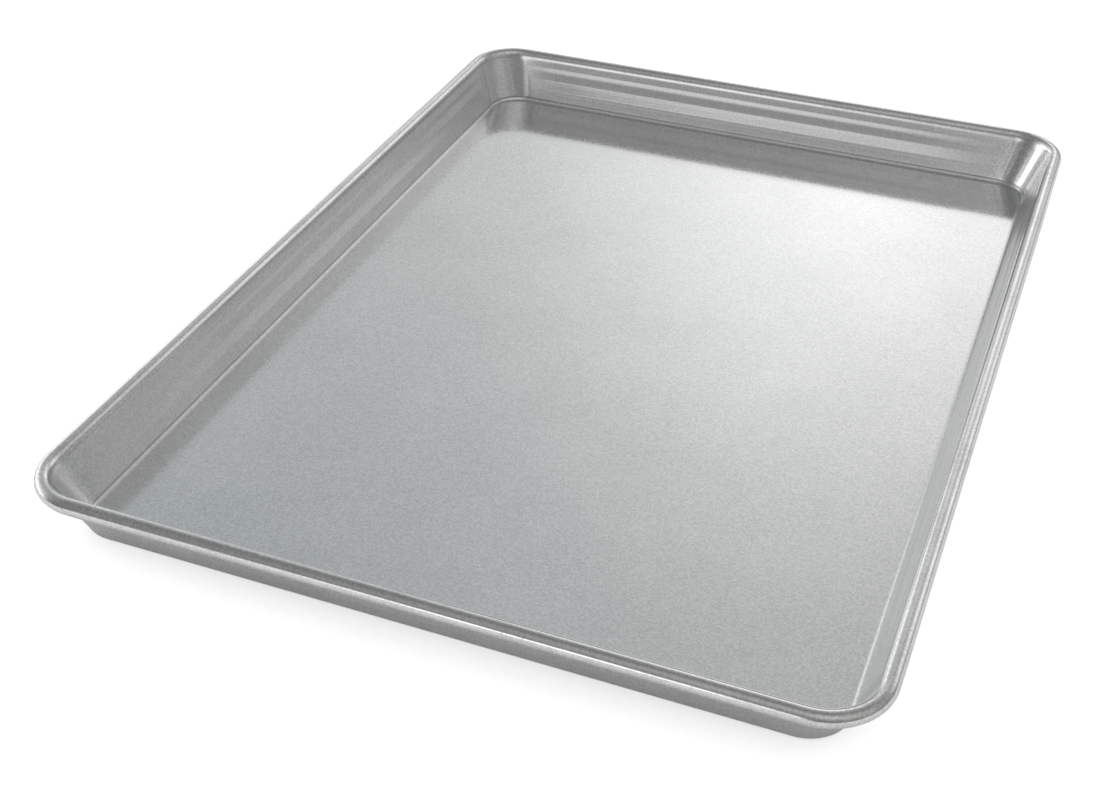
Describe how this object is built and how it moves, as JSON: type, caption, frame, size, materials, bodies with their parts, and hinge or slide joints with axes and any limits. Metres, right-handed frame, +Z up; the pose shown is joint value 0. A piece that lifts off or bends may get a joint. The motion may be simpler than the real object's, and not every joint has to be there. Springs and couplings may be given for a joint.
{
  "type": "sheet pan",
  "caption": "Shallow rectangular metal sheet pan with leaning walls, rounded corners and a rolled rim stiffened by a wire, for baking and roasting.",
  "frame": {"origin": "middle of the flat underside, on the surface the pan stands on", "axes": "+X along the short side, +Y along the long side, +Z up out of the open top"},
  "size_m": [0.334, 0.457, 0.027],
  "materials": {
    "coated_sheet": "satin aluminised steel with a fine grain",
    "wire_steel": "plain drawn steel wire"
  },
  "bodies": {
    "root": {"pan_body": "coated_sheet", "rim_wire": "wire_steel"}
  },
  "joints": []
}
